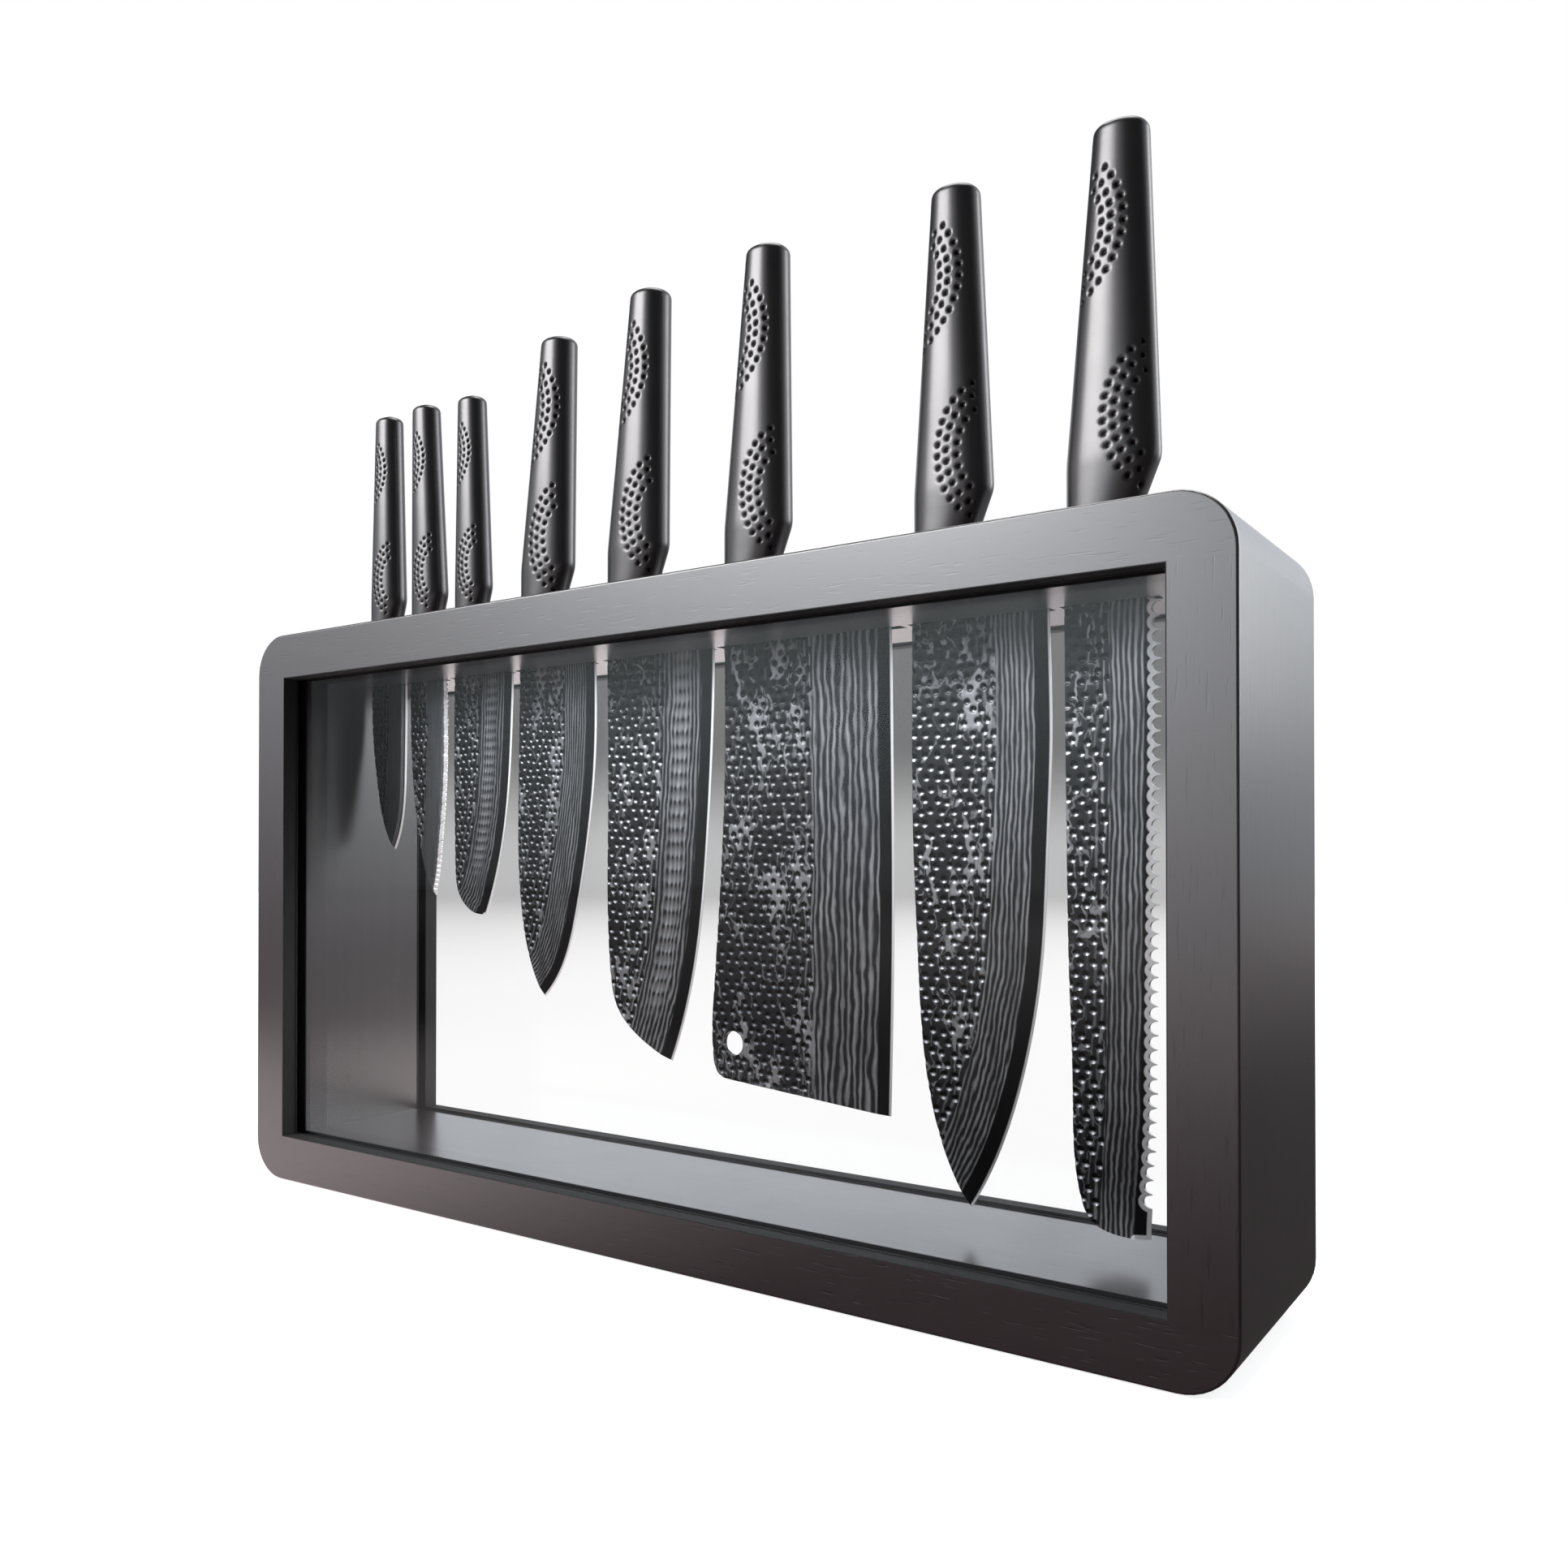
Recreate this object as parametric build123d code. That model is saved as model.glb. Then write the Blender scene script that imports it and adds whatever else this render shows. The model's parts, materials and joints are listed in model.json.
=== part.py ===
from build123d import *
import math
import os

os.makedirs("parts", exist_ok=True)

# Knife block: a four-board wooden frame glazed front and back, with eight knives hanging
# in slots through the top board. Millimetres, +Z up, origin under the middle of the block.

# Overall sizes
rack_width = 404.0
rack_depth = 80.0
rack_height = 225.0          # boards only, the pads add pad_proud below
board = 18.0                 # thickness of all four boards
corner_radius = 16.0         # outside corners of the frame
edge_round = 0.8             # eased outside edges of the boards

# Glazing: each pane sits in a groove, wrapped in a channel gasket
lip = 6.0                    # wood outside each groove
groove_width = 5.0
groove_depth = 6.0
gasket_wall = 0.5
gasket_base = 1.0
gasket_proud = 0.3           # gasket standing out of its groove

# Frame joinery
dowel_radius = 4.0
dowel_in_side = 16.0
dowel_in_board = 9.0
dowel_clearance = 0.05
dowel_spread = 36.0          # between the two dowels of a corner

# Slots and magnets: the slots are dadoes in the front half of the top board
glue_line = 3.9              # Y of the joint between the top board's halves
slot_depth = 4.6             # dado depth, front to back
slot_clearance = 0.5         # at each end of a slot
magnet_radius = 5.0
magnet_thickness = 3.0
magnet_clearance = 0.1
magnet_pitch = 26.0          # widest spacing of magnets behind a slot

# Rubber pads under the bottom board
pad_radius = 8.0
pad_proud = 0.6
pad_recess = 1.0
pad_clearance = 0.1
pad_inset_x = 22.0
pad_inset_y = 15.0

# Blades
blade_thickness = 2.2
blade_gap = 0.3              # between a blade and the magnet side of its slot
edge_thickness = 0.2
heel_drop = 2.0              # top of the blade below the top board's surface
plain_heel = 8.4             # edge left without teeth at the heel
gullet_share = 0.92          # how much of a tooth's pitch its gullet takes
tip_gap = 5.9                # longest blade to the bottom board
tang_width = 9.0
tang_height = 34.0           # tang inside the handle

# Handles
shell_wall = 1.2
bolster_height = 4.0         # solid foot of the handle
foot_cut = 0.34              # share of the width cut back at the foot's edge side
foot_rise = 0.19             # where the cut ends, as a share of the handle's length
foot_thinning = 0.86
butt_radius = 2.4            # rounded corner of the butt
butt_angle = 75.0            # how far the corner turns, in degrees
butt_steps = 5
butt_crown = 0.9             # rise of the butt's end above its corner
crown_share = 0.35           # flat left in the middle of the butt's end

# Each knife, left to right.
# land: wood to the left of its slot; width: blade at the heel; reach: blade length as a share
# of the room for blades; ahead and behind: extra slot beyond the heel's width on the spine
# and edge sides; spine and edge: the outline as (share of width, share of length), from heel
# to tip; bevel: width of the ground edge; teeth: (pitch, depth) of a serrated edge.
# blunt: a straight bottom in place of a point; hole: (share of width, share of length, radius).
# handle: length, width, thickness, butt width, butt thickness, start of the handle from the
# spine, and how far the butt's middle sits towards the edge side of the grip's middle.
knives = [
    {
        "name": "paring_knife", "land": 2.3, "width": 22.6, "reach": 0.441,
        "ahead": 0.0, "behind": 0.0, "bevel": 3.0,
        "spine": [(0.01, 0.22), (0.03, 0.41), (0.17, 0.67), (0.42, 0.90)],
        "edge": [(1.0, 0.22), (0.985, 0.61), (0.85, 0.90)], "tip": (0.67, 1.0),
        "handle": (99.6, 17.5, 12.5, 12.5, 10.5, 1.7, 0.0),
    },
    {
        "name": "serrated_utility_knife", "land": 2.4, "width": 22.8, "reach": 0.537,
        "ahead": 0.0, "behind": 0.0, "bevel": 3.0, "teeth": (2.0, 0.7),
        "spine": [(0.0, 0.18), (0.05, 0.50), (0.21, 0.74), (0.42, 0.90)],
        "edge": [(1.0, 0.18), (0.99, 0.56), (0.85, 0.84), (0.74, 0.965)], "tip": (0.68, 1.0),
        "handle": (100.0, 17.5, 12.5, 12.5, 10.5, 2.6, -2.6),
    },
    {
        "name": "small_santoku", "land": 4.0, "width": 34.0, "reach": 0.573,
        "ahead": 0.0, "behind": 0.0, "bevel": 4.5,
        "spine": [(0.0, 0.17), (0.0, 0.53), (0.02, 0.81), (0.09, 0.93), (0.25, 0.98)],
        "edge": [(1.0, 0.17), (0.985, 0.30), (0.88, 0.67), (0.73, 0.86)], "tip": (0.55, 1.0),
        "handle": (98.0, 17.5, 12.5, 12.5, 10.5, 1.9, -1.2),
    },
    {
        "name": "cooks_knife", "land": 2.7, "width": 40.4, "reach": 0.729,
        "ahead": 0.8, "behind": 0.0, "bevel": 4.2,
        "spine": [(0.0, 0.13), (-0.015, 0.42), (-0.015, 0.63), (0.03, 0.77), (0.12, 0.88)],
        "edge": [(1.0, 0.13), (0.995, 0.36), (0.93, 0.53), (0.76, 0.77), (0.59, 0.91)],
        "tip": (0.34, 1.0),
        "handle": (110.5, 25.0, 15.0, 14.5, 13.0, 2.2, 6.0),
    },
    {
        "name": "santoku_knife", "land": 5.5, "width": 50.5, "reach": 0.825,
        "ahead": 0.0, "behind": 0.0, "bevel": 4.8,
        "spine": [(0.0, 0.11), (0.01, 0.39), (0.03, 0.80), (0.10, 0.89), (0.33, 0.957)],
        "edge": [(1.0, 0.11), (0.99, 0.25), (0.94, 0.52), (0.83, 0.79), (0.72, 0.918)],
        "tip": (0.62, 1.0),
        "handle": (117.3, 26.5, 16.0, 15.5, 14.0, 1.4, 6.0),
    },
    {
        "name": "cleaver", "land": 2.8, "width": 67.4, "reach": 0.873,
        "ahead": 0.9, "behind": 4.7, "bevel": 4.7, "hole": (0.064, 0.895, 4.3),
        "spine": [(0.005, 0.11), (0.005, 0.38), (-0.025, 0.60), (-0.065, 0.80), (-0.068, 0.92),
                  (-0.04, 0.955), (0.02, 0.967)],
        "edge": [(1.005, 0.11), (1.012, 0.33), (1.018, 0.60), (1.012, 0.80)], "tip": (1.0, 1.0),
        "blunt": True,
        "handle": (119.2, 26.5, 16.0, 15.5, 14.0, 1.2, 4.2),
    },
    {
        "name": "chefs_knife", "land": 2.5, "width": 46.4, "reach": 0.9965,
        "ahead": 0.1, "behind": 0.9, "bevel": 5.0,
        "spine": [(0.0, 0.09), (0.007, 0.44), (0.04, 0.61), (0.11, 0.80), (0.25, 0.92)],
        "edge": [(1.0, 0.09), (1.015, 0.28), (0.99, 0.44), (0.955, 0.60), (0.84, 0.765),
                 (0.65, 0.905)],
        "tip": (0.44, 1.0),
        "handle": (118.0, 26.5, 16.0, 15.5, 14.0, 1.2, 0.9),
    },
    {
        "name": "bread_knife", "land": 2.8, "width": 28.6, "reach": 0.998,
        "ahead": 0.2, "behind": 0.1, "bevel": 2.6, "teeth": (4.13, 2.6),
        "spine": [(0.0, 0.09), (0.02, 0.44), (0.05, 0.66), (0.08, 0.79), (0.13, 0.93),
                  (0.18, 0.96), (0.27, 0.985), (0.45, 0.998)],
        "edge": [(1.005, 0.09), (0.995, 0.44), (0.97, 0.68), (0.93, 0.90), (0.90, 0.96)],
        "tip": (0.89, 1.0),
        "handle": (121.0, 28.0, 16.0, 16.2, 14.0, 0.9, 2.6),
    },
]
last_land = 14.6             # wood to the right of the last slot

# Derived sizes
z_base = pad_proud
z_top = z_base + rack_height
z_ceiling = z_top - board
z_floor = z_base + board
inner_width = rack_width - 2 * board
inner_height = rack_height - 2 * board
half_depth = rack_depth / 2
pane_middle = half_depth - lip - groove_width / 2
glass_thickness = groove_width - 2 * gasket_wall
glass_hold = groove_depth - gasket_base
blade_back = glue_line - blade_gap
blade_middle = blade_back - blade_thickness / 2
blade_room = rack_height - board - tip_gap
slot_widths = [k["width"] + k["ahead"] + k["behind"] + 2 * slot_clearance for k in knives]
wood_total = sum(k["land"] for k in knives) + last_land
land_scale = (inner_width - sum(slot_widths)) / wood_total

x_left = -inner_width / 2
for knife, slot_width in zip(knives, slot_widths):
    x_left += knife["land"] * land_scale
    knife["slot"] = (x_left, x_left + slot_width)
    knife["spine_x"] = x_left + slot_clearance + knife["ahead"]
    knife["length"] = knife["reach"] * blade_room
    x_left += slot_width


def box(x0, x1, y0, y1, z0, z1):
    corner_align = (Align.MIN, Align.MIN, Align.MIN)
    return Pos(x0, y0, z0) * Box(x1 - x0, y1 - y0, z1 - z0, align=corner_align)


def rod_z(radius, x, y, z0, z1):
    bottom = (Align.CENTER, Align.CENTER, Align.MIN)
    return Pos(x, y, z0) * Cylinder(radius, z1 - z0, align=bottom)


def rod_y(radius, x, z, y0, y1):
    turned = Rot(-90, 0, 0) * Cylinder(radius, y1 - y0, align=(Align.CENTER, Align.CENTER, Align.MIN))
    return Pos(x, y0, z) * turned


def save(solids, name):
    kept = Compound(children=list(solids)) if len(solids) > 1 else solids[0]
    kept.label = name
    export_step(kept, f"parts/{name}.step")


# The glazing groove as a ring-shaped cutter, one behind each pane's edge
def groove_block(side):
    y0 = side * pane_middle - groove_width / 2
    half_w = inner_width / 2 + groove_depth
    return box(
        -half_w, half_w, y0, y0 + groove_width,
        z_floor - groove_depth, z_ceiling + groove_depth,
    )


grooves = [groove_block(-1), groove_block(1)]
dowel_x = rack_width / 2 - board / 2
dowel_spots = [
    (side_x * dowel_x, side_y * dowel_spread / 2) for side_x in (-1, 1) for side_y in (-1, 1)
]


def dowel(x, y, z_joint, up, extra):
    reach_up = dowel_in_side if up else dowel_in_board
    reach_down = dowel_in_board if up else dowel_in_side
    return rod_z(dowel_radius + extra, x, y, z_joint - reach_down, z_joint + reach_up)


def dowel_holes():
    low = [dowel(x, y, z_floor, True, dowel_clearance) for x, y in dowel_spots]
    high = [dowel(x, y, z_ceiling, False, dowel_clearance) for x, y in dowel_spots]
    return low + high


# A top or bottom board over the full width, its two outside corners rounded
def wide_board(z0, z1, y0, y1, round_top):
    solid = box(-rack_width / 2, rack_width / 2, y0, y1, z0, z1)
    corners = solid.edges().filter_by(Axis.Y)
    z_round = z1 if round_top else z0
    picked = [e for e in corners if abs(e.center().Z - z_round) < 0.01]
    return fillet(picked, corner_radius)


# Rounds a board's outside edges, the ones round the front or back face away from the joints
def ease(solid, keep_z):
    picked = []
    for edge in solid.edges():
        middle = edge @ 0.5
        flat = abs(abs(middle.Y) - half_depth) < 0.01 and abs((edge @ 0).Y - (edge @ 1).Y) < 0.01
        outside = all(abs(middle.Z - z) > 0.01 for z in keep_z)
        if flat and outside:
            picked.append(edge)
    return fillet(picked, edge_round)


holes = dowel_holes()

bottom_board = ease(wide_board(z_base, z_floor, -half_depth, half_depth, False), [z_floor])
pad_spots = [
    (sx * (rack_width / 2 - pad_inset_x), sy * (half_depth - pad_inset_y))
    for sx in (-1, 1) for sy in (-1, 1)
]
for x, y in pad_spots:
    bottom_board -= rod_z(pad_radius + pad_clearance, x, y, z_base - 1, z_base + pad_recess)
bottom_board = bottom_board - grooves - holes
save([bottom_board], "bottom_board")
save([rod_z(pad_radius, x, y, 0, pad_recess + pad_proud) for x, y in pad_spots], "rubber_pads")

for side, name in ((-1, "left_side_board"), (1, "right_side_board")):
    inner, outer = side * inner_width / 2, side * rack_width / 2
    side_board = box(
        min(inner, outer), max(inner, outer), -half_depth, half_depth, z_floor, z_ceiling
    )
    outside = side_board.edges().filter_by(Axis.Z).filter_by_position(Axis.X, outer, outer)
    side_board = fillet(outside, edge_round)
    side_board = side_board - grooves - holes
    save([side_board], name)

# The top board is glued from two halves: slots are cut in the front one's glued face
top_front = ease(wide_board(z_ceiling, z_top, -half_depth, glue_line, True), [z_ceiling])
top_rear = ease(wide_board(z_ceiling, z_top, glue_line, half_depth, True), [z_ceiling])
slots = [
    box(k["slot"][0], k["slot"][1], glue_line - slot_depth, glue_line + 1, z_ceiling - 1, z_top + 1)
    for k in knives
]
top_front = top_front - grooves - holes - slots

magnets = []
z_magnet = z_top - board / 2
for knife in knives:
    heel_x = knife["spine_x"] + knife["width"] / 2
    span = knife["width"] - 2 * magnet_radius
    count = max(1, math.ceil(span / magnet_pitch))
    step = knife["width"] / count
    for n in range(count):
        magnets.append((heel_x + (n - (count - 1) / 2) * step, z_magnet))
pockets = [
    rod_y(magnet_radius + magnet_clearance, x, z, glue_line - 1, glue_line + magnet_thickness)
    for x, z in magnets
]
top_rear = top_rear - grooves - holes - pockets
save([top_front], "top_board_front")
save([top_rear], "top_board_rear")
save(
    [rod_y(magnet_radius, x, z, glue_line, glue_line + magnet_thickness) for x, z in magnets],
    "slot_magnets",
)

low_dowels = [dowel(x, y, z_floor, True, 0) for x, y in dowel_spots]
high_dowels = [dowel(x, y, z_ceiling, False, 0) for x, y in dowel_spots]
save(low_dowels + high_dowels, "corner_dowels")

for side, name in ((-1, "front"), (1, "rear")):
    middle = side * pane_middle
    half_w = inner_width / 2
    pane = box(
        -half_w - glass_hold, half_w + glass_hold,
        middle - glass_thickness / 2, middle + glass_thickness / 2,
        z_floor - glass_hold, z_ceiling + glass_hold,
    )
    channel = groove_block(side) - pane - box(
        -half_w + gasket_proud, half_w - gasket_proud, middle - groove_width, middle + groove_width,
        z_floor + gasket_proud, z_ceiling - gasket_proud,
    )
    save([pane], f"{name}_glass")
    save([channel], f"{name}_glazing_gasket")


# Point of a blade's outline in the plane of its front face
def on_blade(knife, share, y):
    across, down = share
    return Vector(
        knife["spine_x"] + across * knife["width"], y, z_top - down * knife["length"]
    )


def edge_curve(knife, y):
    heel = Vector(knife["spine_x"] + knife["width"], y, z_top - heel_drop)
    stations = [on_blade(knife, share, y) for share in knife["edge"] + [knife["tip"]]]
    return Spline(heel, *stations)


def blade_outline(knife, y):
    heel_z = z_top - heel_drop
    spine_heel = Vector(knife["spine_x"], y, heel_z)
    stations = [on_blade(knife, share, y) for share in knife["spine"]]
    tip = on_blade(knife, knife["tip"], y)
    if knife.get("blunt"):
        spine = [Spline(spine_heel, *stations), Line(stations[-1], tip)]
    else:
        spine = [Spline(spine_heel, *stations, tip)]
    edge = edge_curve(knife, y)
    return make_face(Curve() + spine + [edge, Line(edge @ 0, spine_heel)])


# Wedge that grinds one side of the edge, swept along it
def bevel_cutter(knife, side):
    y_face = blade_middle + side * blade_thickness / 2
    y_edge = blade_middle + side * edge_thickness / 2
    edge = edge_curve(knife, blade_middle)
    lead_in = Line(edge @ 0 + Vector(0, 0, 4), edge @ 0)
    lead_out = Line(edge @ 1, edge @ 1 + (edge % 1) * 6)
    x = (edge @ 0).X
    slope = (y_edge - y_face) / knife["bevel"]
    wedge = Polyline(
        (x - knife["bevel"], y_face), (x + 2, y_face + slope * (knife["bevel"] + 2)),
        (x + 2, y_face + side), (x - knife["bevel"], y_face + side),
        close=True,
    )
    section = Pos(0, 0, (edge @ 0).Z + 4) * make_face(wedge)
    return sweep(section, path=Wire([lead_in, edge, lead_out]))


# Half-round gullets along the edge, in the plane of the outline
def gullets(knife, y):
    pitch, depth = knife["teeth"]
    edge = edge_curve(knife, y)
    count = int((edge.length - plain_heel - 2 * depth) / pitch)
    cuts = []
    for n in range(count):
        spot = edge @ ((plain_heel + (n + 0.5) * pitch) / edge.length)
        plane = Plane(origin=(spot.X, y, spot.Z), x_dir=(1, 0, 0), z_dir=(0, -1, 0))
        cuts.append(plane * Ellipse(depth, pitch * gullet_share / 2))
    return cuts


def blade(knife):
    y_front = blade_middle - blade_thickness / 2
    outline = blade_outline(knife, y_front)
    if "teeth" in knife:
        outline -= gullets(knife, y_front)
    solid = extrude(outline, blade_thickness, dir=(0, 1, 0))
    if "hole" in knife:
        across, down, radius = knife["hole"]
        spot = on_blade(knife, (across, down), 0)
        solid -= rod_y(radius, spot.X, spot.Z, blade_middle - 5, blade_middle + 5)
    solid = solid - bevel_cutter(knife, -1) - bevel_cutter(knife, 1)
    return solid + tang(knife)


def handle_foot_x(knife):
    return knife["spine_x"] + knife["handle"][5] + knife["handle"][1] * 0.36


def tang(knife):
    x = handle_foot_x(knife)
    return box(
        x - tang_width / 2, x + tang_width / 2,
        blade_middle - blade_thickness / 2, blade_middle + blade_thickness / 2,
        z_top - heel_drop - 1, z_top + tang_height,
    )


# Handle stations as (height, middle, width, thickness): the foot's edge side is cut back,
# the grip tapers straight to the butt, and the butt is nearly flat with a rounded corner
def handle_stations(knife):
    length, width, thick, butt_w, butt_t, start, shift = knife["handle"]
    x_middle = knife["spine_x"] + start + width / 2
    foot_width = width * (1 - foot_cut)
    foot_x = x_middle - width * foot_cut / 2
    stations = [(0.0, foot_x, foot_width, thick * foot_thinning)]
    stations.append((length * foot_rise, x_middle, width, thick))
    corner = length - butt_crown - butt_radius
    for step in range(butt_steps + 1):
        angle = math.radians(butt_angle) * step / butt_steps
        inset = 2 * butt_radius * (1 - math.cos(angle))
        height = corner + butt_radius * math.sin(angle)
        stations.append((height, x_middle + shift, butt_w - inset, butt_t - inset))
    flat_w, flat_t = stations[-1][2] * crown_share, stations[-1][3] * crown_share
    stations.append((length, x_middle + shift, flat_w, flat_t))
    return stations


def handle_body(knife):
    ovals = [
        Pos(x, blade_middle, z_top + height) * Ellipse(w / 2, t / 2)
        for height, x, w, t in handle_stations(knife)
    ]
    return loft(ovals, ruled=True)


# The hollow of a handle, from its solid foot up to the butt
def handle_hollow(knife):
    foot, shoulder, butt = handle_stations(knife)[:3]
    share = bolster_height / shoulder[0]
    start = [low + (high - low) * share for low, high in zip(foot, shoulder)]
    ovals = [
        Pos(x, blade_middle, z_top + height) * Ellipse(w / 2 - shell_wall, t / 2 - shell_wall)
        for height, x, w, t in (start, shoulder, butt)
    ]
    return loft(ovals, ruled=True)


def handle_halves(knife):
    shell = handle_body(knife) - handle_hollow(knife) - tang(knife)
    reach = 400.0
    near = box(-reach, reach, blade_middle - reach, blade_middle, 0, 2 * reach)
    far = box(-reach, reach, blade_middle, blade_middle + reach, 0, 2 * reach)
    return shell & near, shell & far


for knife in knives:
    front, rear = handle_halves(knife)
    save([blade(knife)], f"{knife['name']}_blade")
    save([front], f"{knife['name']}_handle_front")
    save([rear], f"{knife['name']}_handle_rear")
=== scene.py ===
import json
import math
import random

import bpy
import numpy as np
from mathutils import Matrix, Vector
from mathutils.kdtree import KDTree


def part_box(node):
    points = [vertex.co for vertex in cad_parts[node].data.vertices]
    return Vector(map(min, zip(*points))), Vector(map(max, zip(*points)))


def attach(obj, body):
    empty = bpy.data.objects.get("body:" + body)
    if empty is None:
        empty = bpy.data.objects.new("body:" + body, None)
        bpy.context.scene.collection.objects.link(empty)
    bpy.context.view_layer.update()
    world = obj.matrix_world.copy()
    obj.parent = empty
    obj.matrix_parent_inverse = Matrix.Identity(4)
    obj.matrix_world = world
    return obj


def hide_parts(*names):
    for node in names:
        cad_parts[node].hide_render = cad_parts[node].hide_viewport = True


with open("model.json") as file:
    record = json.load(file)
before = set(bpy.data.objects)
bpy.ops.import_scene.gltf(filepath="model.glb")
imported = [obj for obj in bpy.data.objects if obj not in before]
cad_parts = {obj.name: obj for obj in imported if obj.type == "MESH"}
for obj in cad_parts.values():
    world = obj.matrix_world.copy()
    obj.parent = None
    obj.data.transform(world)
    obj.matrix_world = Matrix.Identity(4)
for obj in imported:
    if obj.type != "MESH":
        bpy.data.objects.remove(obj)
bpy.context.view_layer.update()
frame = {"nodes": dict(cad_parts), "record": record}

mm = 0.001
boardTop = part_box("top_board_front")[1][2]
knifeNames = [joint["child"] for joint in frame["record"]["behaviour"]["joints"]]
print("stage: frame loaded,", len(knifeNames), "knives")


# shader helpers

def addNode(tree, kind, **values):
    node = tree.nodes.new(kind)
    for key, value in values.items():
        setattr(node, key, value)
    return node


def mathNode(tree, operation, first, second=None, clamp=False):
    node = addNode(tree, "ShaderNodeMath", operation=operation, use_clamp=clamp)
    for slot, value in enumerate((first, second)):
        if value is None:
            continue
        if isinstance(value, (int, float)):
            node.inputs[slot].default_value = value
        else:
            tree.links.new(value, node.inputs[slot])
    return node.outputs[0]


def mapRange(tree, value, low, high, outLow=0.0, outHigh=1.0, smooth=False):
    node = addNode(tree, "ShaderNodeMapRange", interpolation_type="SMOOTHSTEP" if smooth else "LINEAR")
    tree.links.new(value, node.inputs["Value"])
    for label, number in (("From Min", low), ("From Max", high), ("To Min", outLow), ("To Max", outHigh)):
        if isinstance(number, (int, float)):
            node.inputs[label].default_value = number
        else:
            tree.links.new(number, node.inputs[label])
    return node.outputs["Result"]


def mixColors(tree, share, first, second, blend="MIX"):
    node = addNode(tree, "ShaderNodeMix", data_type="RGBA", blend_type=blend)
    for label, value in ((0, share), (6, first), (7, second)):
        socket = node.inputs[label]
        if isinstance(value, bpy.types.NodeSocket):
            tree.links.new(value, socket)
        elif isinstance(value, (int, float)):
            socket.default_value = value
        else:
            socket.default_value = (*value, 1.0)
    return node.outputs[2]


def noise(tree, vector, scale, detail=3.0, roughness=0.5, distortion=0.0):
    node = addNode(tree, "ShaderNodeTexNoise")
    node.inputs["Scale"].default_value = scale
    node.inputs["Detail"].default_value = detail
    node.inputs["Roughness"].default_value = roughness
    node.inputs["Distortion"].default_value = distortion
    tree.links.new(vector, node.inputs["Vector"])
    return node.outputs["Fac"]


def stretched(tree, vector, scale):
    node = addNode(tree, "ShaderNodeMapping")
    node.inputs["Scale"].default_value = scale
    tree.links.new(vector, node.inputs["Vector"])
    return node.outputs["Vector"]


def newGroup(name, inputs, outputs):
    tree = bpy.data.node_groups.new(name, "ShaderNodeTree")
    for label, kind, value in inputs:
        socket = tree.interface.new_socket(name=label, in_out="INPUT", socket_type=kind)
        if value is not None:
            socket.default_value = value
    for label, kind in outputs:
        tree.interface.new_socket(name=label, in_out="OUTPUT", socket_type=kind)
    return tree, addNode(tree, "NodeGroupInput").outputs, addNode(tree, "NodeGroupOutput").inputs


def useGroup(tree, group, links=None, **values):
    node = addNode(tree, "ShaderNodeGroup", node_tree=group)
    for label, socket in (links or {}).items():
        tree.links.new(socket, node.inputs[label])
    for label, value in values.items():
        node.inputs[label].default_value = value
    return node.outputs


def newMaterial(name):
    material = bpy.data.materials.new(name)
    material.use_nodes = True
    tree = material.node_tree
    tree.nodes.clear()
    shader = addNode(tree, "ShaderNodeBsdfPrincipled")
    output = addNode(tree, "ShaderNodeOutputMaterial")
    tree.links.new(shader.outputs["BSDF"], output.inputs["Surface"])
    return material, tree, shader


def objectCoords(tree):
    return addNode(tree, "ShaderNodeTexCoord").outputs["Object"]


def addBump(tree, shader, height, distance, strength=1.0):
    bump = addNode(tree, "ShaderNodeBump")
    bump.inputs["Strength"].default_value = strength
    bump.inputs["Distance"].default_value = distance
    tree.links.new(height, bump.inputs["Height"])
    tree.links.new(bump.outputs["Normal"], shader.inputs["Normal"])


# shared effects

floatKind, vectorKind = "NodeSocketFloat", "NodeSocketVector"


def buildGrainGroup():
    # Vector comes in already stretched along the board
    tree, given, out = newGroup("woodGrain", [
        ("Vector", vectorKind, None), ("Figure", floatKind, 1.0), ("Pores", floatKind, 1.0),
    ], [("Tone", floatKind), ("Pore Mask", floatKind), ("Height", floatKind)])
    broad = noise(tree, given["Vector"], 3.0, 4.0, 0.55, 0.6)
    fine = noise(tree, given["Vector"], 17.0, 5.0, 0.6)
    wave = addNode(tree, "ShaderNodeTexWave", wave_type="BANDS", bands_direction="Y")
    wave.inputs["Scale"].default_value = 1.7
    wave.inputs["Distortion"].default_value = 7.0
    wave.inputs["Detail"].default_value = 3.0
    wave.inputs["Detail Scale"].default_value = 1.4
    tree.links.new(given["Vector"], wave.inputs["Vector"])
    figure = mathNode(tree, "MULTIPLY", wave.outputs["Fac"], given["Figure"])
    slow = mathNode(tree, "MULTIPLY", broad, 0.6)
    sums = mathNode(tree, "ADD", slow, mathNode(tree, "MULTIPLY", figure, 0.35))
    tone = mathNode(tree, "ADD", sums, mathNode(tree, "MULTIPLY", fine, 0.3), True)
    poreNoise = noise(tree, given["Vector"], 46.0, 2.0, 0.5)
    openPore = mapRange(tree, poreNoise, 0.60, 0.72, smooth=True)
    pores = mathNode(tree, "MULTIPLY", openPore, given["Pores"], True)
    height = mathNode(tree, "SUBTRACT", mathNode(tree, "MULTIPLY", fine, 0.35), pores)
    for label, value in (("Tone", tone), ("Pore Mask", pores), ("Height", height)):
        tree.links.new(value, out[label])
    return tree


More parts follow.
